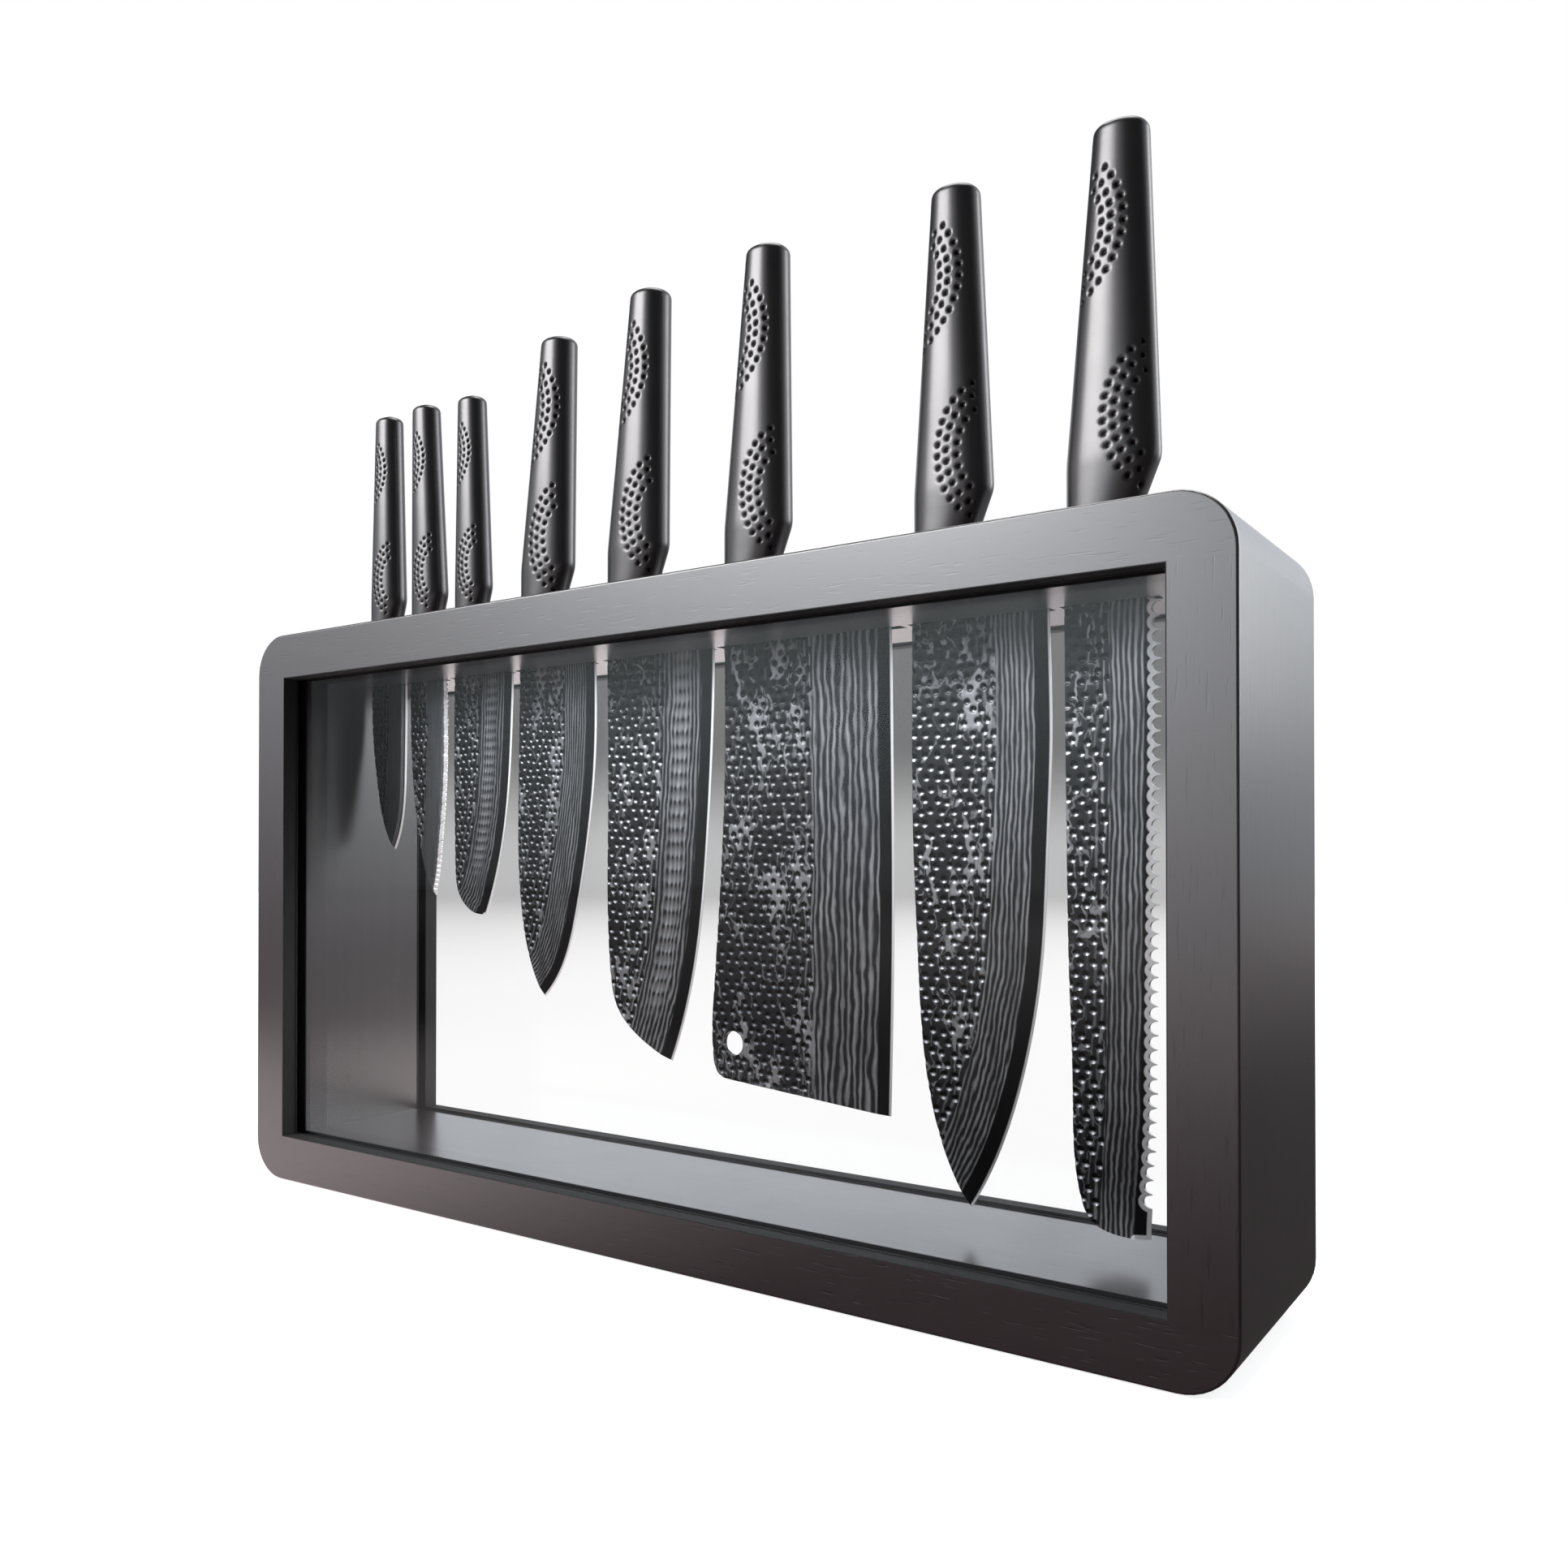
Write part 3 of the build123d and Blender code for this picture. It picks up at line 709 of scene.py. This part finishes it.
def buildBladeMaterial(name):
    look = bladeLooks[name]
    material, tree, shader = newMaterial(name + "Steel")
    coords = objectCoords(tree)
    gaps = {label: addNode(tree, "ShaderNodeAttribute", attribute_name=label).outputs["Fac"]
            for label in ("edgeGap", "cutGap", "dimple", "lip", "rung")}
    zone = look["bevel"] + look["band"]
    lines = useGroup(tree, layeredSteel, {"Vector": coords, "Edge Distance": gaps["edgeGap"]},
                     Pitch=look["line"], Wander=0.55, Thin=0.25)["Line"]
    outer = useGroup(tree, layeredSteel, {"Vector": coords, "Edge Distance": gaps["edgeGap"]},
                     Pitch=bladeTone["outerPitch"], Wander=0.5, Thin=0.45)["Line"]
    nearBand = mapRange(tree, gaps["edgeGap"], zone, zone + bladeTone["outerLines"], 1.0, 0.0)
    feather = useGroup(tree, featheredSteel, {"Vector": coords}, Share=bladeTone["share"])
    blast = useGroup(tree, blastedMetal, {"Vector": coords}, Grit=1800.0)
    coat = mixColors(tree, blast["Cloud"], bladeTone["coat"], [1.5 * part for part in bladeTone["coat"]])
    hammered = mixColors(tree, feather["Patch"], coat, bladeTone["patch"])
    hammered = mixColors(tree, mathNode(tree, "MULTIPLY", outer, nearBand), hammered, bladeTone["layer"])
    vein = mathNode(tree, "MULTIPLY", feather["Vein"], 0.5)
    hammered = mixColors(tree, vein, hammered, bladeTone["layer"])
    # painted shade darkens each blow above, and a painted highlight brightens its lower lip
    lipHighlightShare = mapRange(tree, gaps["lip"], -0.05, 0.6, 0.0, look.get("lip", 1.0), True)
    shadedPit = mixColors(tree, lipHighlightShare, bladeTone["shadedPit"], bladeTone["lip"])
    hammered = mixColors(tree, mapRange(tree, gaps["dimple"], 0.04, 0.22), hammered, shadedPit)
    band = mixColors(tree, lines, coat, bladeTone["layer"])
    rung = mathNode(tree, "MULTIPLY", gaps["rung"], bladeTone["rung"])
    band = mixColors(tree, rung, band, bladeTone["layer"])
    if look.get("brushed"):
        streak = noise(tree, stretched(tree, coords, (1400.0, 1400.0, 60.0)), 1.0, 3.0, 0.6)
        low, high = ([share * part for part in bladeTone["brushed"]] for share in (0.5, 1.6))
        band = mixColors(tree, 0.3, mixColors(tree, streak, low, high), band)
    inBand = mapRange(tree, gaps["edgeGap"], zone - 0.15, zone + 0.15, 1.0, 0.0)
    inBevel = mapRange(tree, gaps["edgeGap"], look["bevel"] - 0.12, look["bevel"] + 0.12, 1.0, 0.0)
    silverWidth = bladeTone["toothSilver"] if look.get("teeth") else bladeTone["silverWidth"]
    bright = mapRange(tree, gaps["cutGap"], silverWidth - 0.2, silverWidth + 0.1, 1.0, 0.0)
    tone = mixColors(tree, inBand, hammered, band)
    tone = mixColors(tree, inBevel, tone, bladeTone["bevel"])
    tone = mixColors(tree, bright, tone, bladeTone["silver"])
    tree.links.new(tone, shader.inputs["Base Color"])
    middling = bladeTone["roughness"]
    rough = mapRange(tree, blast["Cloud"], 0.2, 0.8, middling - 0.06, middling + 0.08)
    rough = mapRange(tree, gaps["dimple"], 0.0, 0.5, rough, bladeTone["pitRoughness"])
    tree.links.new(rough, shader.inputs["Roughness"])
    shader.inputs["Metallic"].default_value = bladeTone["metallic"]
    height = mathNode(tree, "ADD", mathNode(tree, "MULTIPLY", blast["Height"], 0.3),
                      mathNode(tree, "MULTIPLY", lines, mathNode(tree, "MULTIPLY", inBand, 0.7)))
    addBump(tree, shader, height, 0.00003, 0.5)
    return material


for knife in knifeNames:
    blade = buildBlade(knife)
    blade.data.materials.append(buildBladeMaterial(knife))
    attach(blade, knife)
    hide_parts(knife + "_blade")
    print("stage: blade", knife, len(blade.data.vertices), "points")


# handles

handleGrid = {"step": 0.48, "columns": 132, "form": 2.15, "blur": 3.0, "buttHeight": 4.0, "buttRows": 14}
# dimple fields as arcs round a centre: middle (share across, share up), radii in millimetres
# for a full-size handle, first and last angle of each arc in degrees, and the dimples' spacing
handleFields = [
    {"centre": (-0.523, 0.752), "radii": (17.15, 20.2, 23.7), "pitch": 3.6,
     "angles": ((-49, 35), (-58, 43), (-64, 40))},
    {"centre": (1.408, 0.279), "radii": (18.2, 21.7, 24.9), "pitch": 3.6,
     "angles": ((137, 218), (130, 226), (124, 232))},
]
handleLooks = {
    "large": {"scale": 1.0, "radius": 1.06, "depth": 0.55},
    "small": {"scale": 0.74, "radius": 0.8, "depth": 0.42},
}


def buildHandle(name):
    nodes = (name + "_handle_front", name + "_handle_rear")
    edges = nodeEdges(*nodes)
    corners = [np.array(corner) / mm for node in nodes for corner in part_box(node)]
    foot, top = min(corner[2] for corner in corners), max(corner[2] for corner in corners)
    length = top - foot
    width = max(corner[0] for corner in corners) - min(corner[0] for corner in corners)
    look = handleLooks["large" if width > 24 else "small"]
    butt = top - handleGrid["buttHeight"]
    levels = list(np.arange(foot + 0.01, butt, handleGrid["step"]))
    rise = np.sin(np.linspace(0, math.pi / 2, handleGrid["buttRows"]))
    levels += list(butt + handleGrid["buttHeight"] * rise - 0.01)
    levels = np.array(levels)
    acrossSpans = np.array([spanAt(edges, level, 0) for level in levels])
    depthSpans = np.array([spanAt(edges, level, 1) for level in levels])
    grip = levels < butt - 1
    reach = handleGrid["blur"] / handleGrid["step"]
    for spans in (acrossSpans, depthSpans):
        for side in (0, 1):
            spans[grip, side] = blurred(spans[grip, side], reach)
    middleX, middleY = acrossSpans.mean(axis=1), depthSpans.mean(axis=1)
    halfX, halfY = np.ptp(acrossSpans, axis=1) / 2, np.ptp(depthSpans, axis=1) / 2
    columns = handleGrid["columns"]
    angles = np.arange(columns) / columns * 2 * math.pi
    power = 2 / handleGrid["form"]
    unitX = np.sign(np.cos(angles)) * np.abs(np.cos(angles)) ** power
    unitY = np.sign(np.sin(angles)) * np.abs(np.sin(angles)) ** power
    x = middleX[:, None] + halfX[:, None] * unitX
    y = middleY[:, None] + halfY[:, None] * unitY
    z = np.repeat(levels[:, None], columns, axis=1)
    points = np.stack([x, y, z], axis=-1).reshape(-1, 3)
    normalX = np.cos(angles)[None] / np.maximum(halfX[:, None], 0.1)
    normalY = np.sin(angles)[None] / np.maximum(halfY[:, None], 0.1)
    size = np.hypot(normalX, normalY)
    normals = np.stack([normalX / size, normalY / size, np.zeros_like(size)], axis=-1).reshape(-1, 3)
    spots = handleSpots(levels, acrossSpans, middleY, halfX, halfY, foot, length, look)
    nearest = distancesTo(treeOf(spots), points)
    bowl = np.clip(1 - (nearest / look["radius"]) ** 2, 0, 1)
    points -= normals * (look["depth"] * (np.sqrt(bowl) + bowl) / 2)[:, None]
    rows = len(levels)
    index = np.arange(rows * columns).reshape(rows, columns)
    after = np.roll(index, -1, axis=1)
    cells = np.stack([index[:-1], after[:-1], after[1:], index[1:]], axis=-1).reshape(-1, 4)
    caps = np.stack([index[0][::-1], index[-1]])
    return buildMesh(name + "Handle", points, [cells, caps], {"dimple": bowl}, 50.0)


def handleSpots(levels, spans, middleY, halfX, halfY, foot, length, look):
    # the arcs of dimples on the front and their mirror image on the back
    spots = []
    for field in handleFields:
        centreZ = foot + field["centre"][1] * length
        left = np.interp(centreZ, levels, spans[:, 0])
        right = np.interp(centreZ, levels, spans[:, 1])
        centreX = left + field["centre"][0] * (right - left)
        for radius, (first, last) in zip(field["radii"], field["angles"]):
            radius = radius * look["scale"]
            pitch = field["pitch"] * look["scale"]
            count = int(round(math.radians(last - first) * radius / pitch)) + 1
            for step in range(count):
                angle = math.radians(first + (last - first) * step / (count - 1))
                x = centreX + radius * math.cos(angle)
                z = centreZ + radius * math.sin(angle)
                row = int(np.argmin(np.abs(levels - z)))
                share = (x - spans[row].mean()) / halfX[row]
                if abs(share) > 0.97:
                    continue
                lift = halfY[row] * (1 - abs(share) ** handleGrid["form"]) ** (1 / handleGrid["form"])
                spots.append((x, middleY[row] - lift, z))
                spots.append((x, middleY[row] + lift, z))
    return spots


handleTone = {
    "body": (0.105, 0.100, 0.101), "worn": (0.135, 0.130, 0.131), "hole": (0.008, 0.0065, 0.0065),
    "roughness": 0.3, "marks": 0.04,
}


def buildHandleMaterial():
    material, tree, shader = newMaterial("satinGunmetal")
    coords = objectCoords(tree)
    blast = useGroup(tree, blastedMetal, {"Vector": coords}, Grit=2600.0)
    marks = useGroup(tree, handlingMarks, {"Vector": coords}, **{
        "Size": 40.0, "Amount": handleTone["marks"], "Base Roughness": handleTone["roughness"],
        "Dust": 0.03})
    dimple = addNode(tree, "ShaderNodeAttribute", attribute_name="dimple").outputs["Fac"]
    tone = mixColors(tree, blast["Cloud"], handleTone["body"], handleTone["worn"])
    tone = mixColors(tree, mapRange(tree, dimple, 0.05, 0.7), tone, handleTone["hole"])
    tree.links.new(tone, shader.inputs["Base Color"])
    tree.links.new(marks["Roughness"], shader.inputs["Roughness"])
    shader.inputs["Metallic"].default_value = 0.95
    addBump(tree, shader, blast["Height"], 0.00002, 0.35)
    return material


satinGunmetal = buildHandleMaterial()
for knife in knifeNames:
    handle = buildHandle(knife)
    handle.data.materials.append(satinGunmetal)
    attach(handle, knife)
    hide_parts(knife + "_handle_front", knife + "_handle_rear")
print("stage: handles built")


# the frame's own pieces keep their CAD shape

nodeFinish = {
    "bottom_board": woodAcross, "top_board_front": woodAcross, "top_board_rear": woodAcross,
    "left_side_board": woodUpright, "right_side_board": woodUpright, "corner_dowels": dowelWood,
    "front_glass": clearPane, "rear_glass": clearPane, "front_glazing_gasket": gasketRubber,
    "rear_glazing_gasket": gasketRubber, "slot_magnets": platedMagnet, "rubber_pads": padRubber,
}
for node, material in nodeFinish.items():
    part = frame["nodes"][node]
    part.data.materials.clear()
    part.data.materials.append(material)
print("stage: frame finishes set")


# studio

studio = {
    "floorSize": 8.0, "floorGlow": 0.78,
    "camera": (0.2876, -0.3570, 0.1343), "tilt": 90.49, "turn": 34.718, "lens": 29.37, "shiftUp": 0.0385,
}
# what the block reflects: brightness of the floor near it, and of pools of light on the floor as
# (middle x, middle y, reach, brightness)
floorLight = {
    "base": 0.05,
    "pools": [
        (-0.34, -0.10, 0.42, 0.85), (-0.9, 0.9, 1.1, 1.3), (0.0, -1.6, 1.5, 0.66),
        (-1.2, -3.4, 2.8, 0.5), (0.4, 2.6, 2.0, 0.22), (-0.05, 0.22, 0.25, 1.4), (0.9, 0.7, 0.6, 0.35),
    ],
    "tint": (1.08, 0.97, 0.98),
}
# brightness round the block at eye level (low) and above it (high), as seen from the block; the
# back's left side is a share of the rest of the back, and through is the backdrop behind glass
roomLight = {
    "frontLow": 0.75, "frontHigh": 2.8, "frontWide": 0.3, "backLow": 0.26, "backHigh": 0.76,
    "backLeftLow": 1.6, "backLeftHigh": 0.12, "backRight": 0.75, "right": 0.06,
    "through": 0.165, "throughLow": 0.52, "tint": (0.93, 0.99, 1.06),
    "wideLine": (-0.64, -0.77, 0.0), "narrowLine": (-0.45, -0.89, 0.0), "rightLine": (0.84, 0.54, 0.0),
}


def throughPane(tree):
    # 1 for what the camera sees, and 1 for what it sees through glass
    path = addNode(tree, "ShaderNodeLightPath")
    throughGlass = mathNode(tree, "GREATER_THAN", path.outputs["Transparent Depth"], 0.5)
    return path.outputs["Is Camera Ray"], throughGlass


def buildFloor():
    # white where it is looked at, and for reflections dark with pools of light
    half = studio["floorSize"] / 2
    mesh = bpy.data.meshes.new("studioFloor")
    corners = [(-half, -half, 0), (half, -half, 0), (half, half, 0), (-half, half, 0)]
    mesh.from_pydata(corners, [], [(0, 1, 2, 3)])
    floor = bpy.data.objects.new("studioFloor", mesh)
    bpy.context.scene.collection.objects.link(floor)
    material, tree, shader = newMaterial("paleFloor")
    coords = objectCoords(tree)
    level = None
    for x, y, reach, brightness in floorLight["pools"]:
        gap = addNode(tree, "ShaderNodeVectorMath", operation="DISTANCE")
        tree.links.new(coords, gap.inputs[0])
        gap.inputs[1].default_value = (x, y, 0.0)
        pool = mapRange(tree, gap.outputs["Value"], reach * 0.25, reach, brightness, 0.0, True)
        level = mathNode(tree, "ADD", pool, floorLight["base"] if level is None else level)
    glow = addNode(tree, "ShaderNodeEmission")
    tree.links.new(level, glow.inputs["Strength"])
    glow.inputs["Color"].default_value = (*floorLight["tint"], 1.0)
    seenByCamera, throughGlass = throughPane(tree)
    away = addNode(tree, "ShaderNodeVectorMath", operation="LENGTH")
    tree.links.new(coords, away.inputs[0])
    fade = mapRange(tree, away.outputs["Value"], 0.4, 1.6, studio["floorGlow"], 1.0, True)
    dim = mapRange(tree, away.outputs["Value"], 0.5, 4.0, 1.0, roomLight["throughLow"], True)
    pale = addNode(tree, "ShaderNodeEmission")
    tree.links.new(fade, pale.inputs["Strength"])
    shader.inputs["Base Color"].default_value = (0.9, 0.9, 0.9, 1)
    shader.inputs["Roughness"].default_value = 0.95
    added = addNode(tree, "ShaderNodeAddShader")
    tree.links.new(shader.outputs[0], added.inputs[0])
    tree.links.new(pale.outputs[0], added.inputs[1])
    backdrop = addNode(tree, "ShaderNodeEmission")
    tree.links.new(dim, backdrop.inputs["Strength"])
    seen = addNode(tree, "ShaderNodeMixShader")
    tree.links.new(throughGlass, seen.inputs[0])
    tree.links.new(added.outputs[0], seen.inputs[1])
    tree.links.new(backdrop.outputs[0], seen.inputs[2])
    mix = addNode(tree, "ShaderNodeMixShader")
    tree.links.new(seenByCamera, mix.inputs[0])
    tree.links.new(glow.outputs[0], mix.inputs[1])
    tree.links.new(seen.outputs[0], mix.inputs[2])
    output = [node for node in tree.nodes if node.type == "OUTPUT_MATERIAL"][0]
    tree.links.new(mix.outputs[0], output.inputs["Surface"])
    mesh.materials.append(material)


# each softbox: place, the point it faces, width and height, power
softboxes = {
    "frontBox": ((-0.86, -1.20, 1.05), (0.0, 0.0, 0.25), (1.1, 0.7), 19),
    "topBox": ((0.0, 0.2, 1.7), (0.0, 0.0, 0.1), (1.2, 0.9), 14),
    "rimBox": ((0.95, 1.25, 0.75), (0.1, 0.0, 0.2), (0.4, 0.9), 5),
}


def addSoftbox(name, place, aim, size, power):
    light = bpy.data.lights.new(name, "AREA")
    light.shape = "RECTANGLE"
    light.size, light.size_y = size
    light.energy = power
    lamp = bpy.data.objects.new(name, light)
    lamp.location = place
    lamp.rotation_euler = (Vector(aim) - Vector(place)).to_track_quat("-Z", "Y").to_euler()
    bpy.context.scene.collection.objects.link(lamp)


def alongLine(tree, coords, line):
    # how closely a direction agrees with the line
    node = addNode(tree, "ShaderNodeVectorMath", operation="DOT_PRODUCT")
    tree.links.new(coords, node.inputs[0])
    node.inputs[1].default_value = line
    return node.outputs["Value"]


def buildWorld():
    # white round the block, a graded backdrop behind its glass; what it reflects is a lit wall in
    # front and to the left, a paler one behind, and a dark room to the right
    world = bpy.data.worlds.new("studioWorld")
    world.use_nodes = True
    tree = world.node_tree
    tree.nodes.clear()
    coords = addNode(tree, "ShaderNodeTexCoord").outputs["Generated"]
    split = addNode(tree, "ShaderNodeSeparateXYZ")
    tree.links.new(coords, split.inputs[0])
    rise = split.outputs["Z"]
    wideShare = roomLight["frontWide"]
    wide, narrow, rightward = (alongLine(tree, coords, roomLight[line])
                               for line in ("wideLine", "narrowLine", "rightLine"))
    wide = mapRange(tree, wide, 0.45, 0.9, 0.0, wideShare, True)
    narrow = mapRange(tree, narrow, 0.89, 0.97, 0.0, 1 - wideShare, True)
    frontShare = mathNode(tree, "ADD", wide, narrow)
    # the wall behind to the left is pale low down and dark above
    leftward = mapRange(tree, split.outputs["X"], -0.5, -0.15, 1.0, 0.0, True)
    leftLevel = mapRange(tree, rise, 0.33, 0.42, roomLight["backLeftLow"], roomLight["backLeftHigh"], True)
    backShare = mapRange(tree, split.outputs["Y"], 0.1, 0.6, 0.0, 1.0, True)
    leftChange = mathNode(tree, "MULTIPLY", leftward, mathNode(tree, "SUBTRACT", leftLevel, 1.0))
    backShare = mathNode(tree, "MULTIPLY", backShare, mathNode(tree, "ADD", leftChange, 1.0))
    rightward = mapRange(tree, rightward, 0.86, 0.97, 0.0, roomLight["backRight"], True)
    front = mapRange(tree, rise, -0.03, 0.25, roomLight["frontLow"], roomLight["frontHigh"], True)
    back = mapRange(tree, rise, 0.0, 0.3, roomLight["backLow"], roomLight["backHigh"], True)
    fromFront = mathNode(tree, "MULTIPLY", front, frontShare)
    level = mathNode(tree, "ADD", fromFront, mathNode(tree, "MULTIPLY", back, backShare))
    level = mathNode(tree, "ADD", level, rightward)
    lit = addNode(tree, "ShaderNodeBackground")
    tree.links.new(mathNode(tree, "ADD", level, roomLight["right"]), lit.inputs["Strength"])
    lit.inputs["Color"].default_value = (*roomLight["tint"], 1.0)
    seenByCamera, throughGlass = throughPane(tree)
    backdrop = mapRange(tree, rise, 0.0, 0.09, roomLight["throughLow"], roomLight["through"], True)
    seen = addNode(tree, "ShaderNodeBackground")
    tree.links.new(mixColors(tree, throughGlass, (1, 1, 1), backdrop), seen.inputs["Color"])
    mix = addNode(tree, "ShaderNodeMixShader")
    tree.links.new(seenByCamera, mix.inputs[0])
    tree.links.new(lit.outputs[0], mix.inputs[1])
    tree.links.new(seen.outputs[0], mix.inputs[2])
    out = addNode(tree, "ShaderNodeOutputWorld")
    tree.links.new(mix.outputs[0], out.inputs["Surface"])
    bpy.context.scene.world = world


def buildCamera():
    camera = bpy.data.cameras.new("studioCamera")
    camera.lens = studio["lens"]
    camera.sensor_width = 36.0
    camera.shift_y = studio["shiftUp"]
    camera.clip_start = 0.01
    holder = bpy.data.objects.new("studioCamera", camera)
    holder.location = studio["camera"]
    holder.rotation_euler = (math.radians(studio["tilt"]), 0, math.radians(studio["turn"]))
    bpy.context.scene.collection.objects.link(holder)
    bpy.context.scene.camera = holder


buildFloor()
buildWorld()
buildCamera()
for name, (place, aim, size, power) in softboxes.items():
    addSoftbox(name, place, aim, size, power)
bpy.context.scene.view_settings.view_transform = "Standard"
print("stage: studio lit")
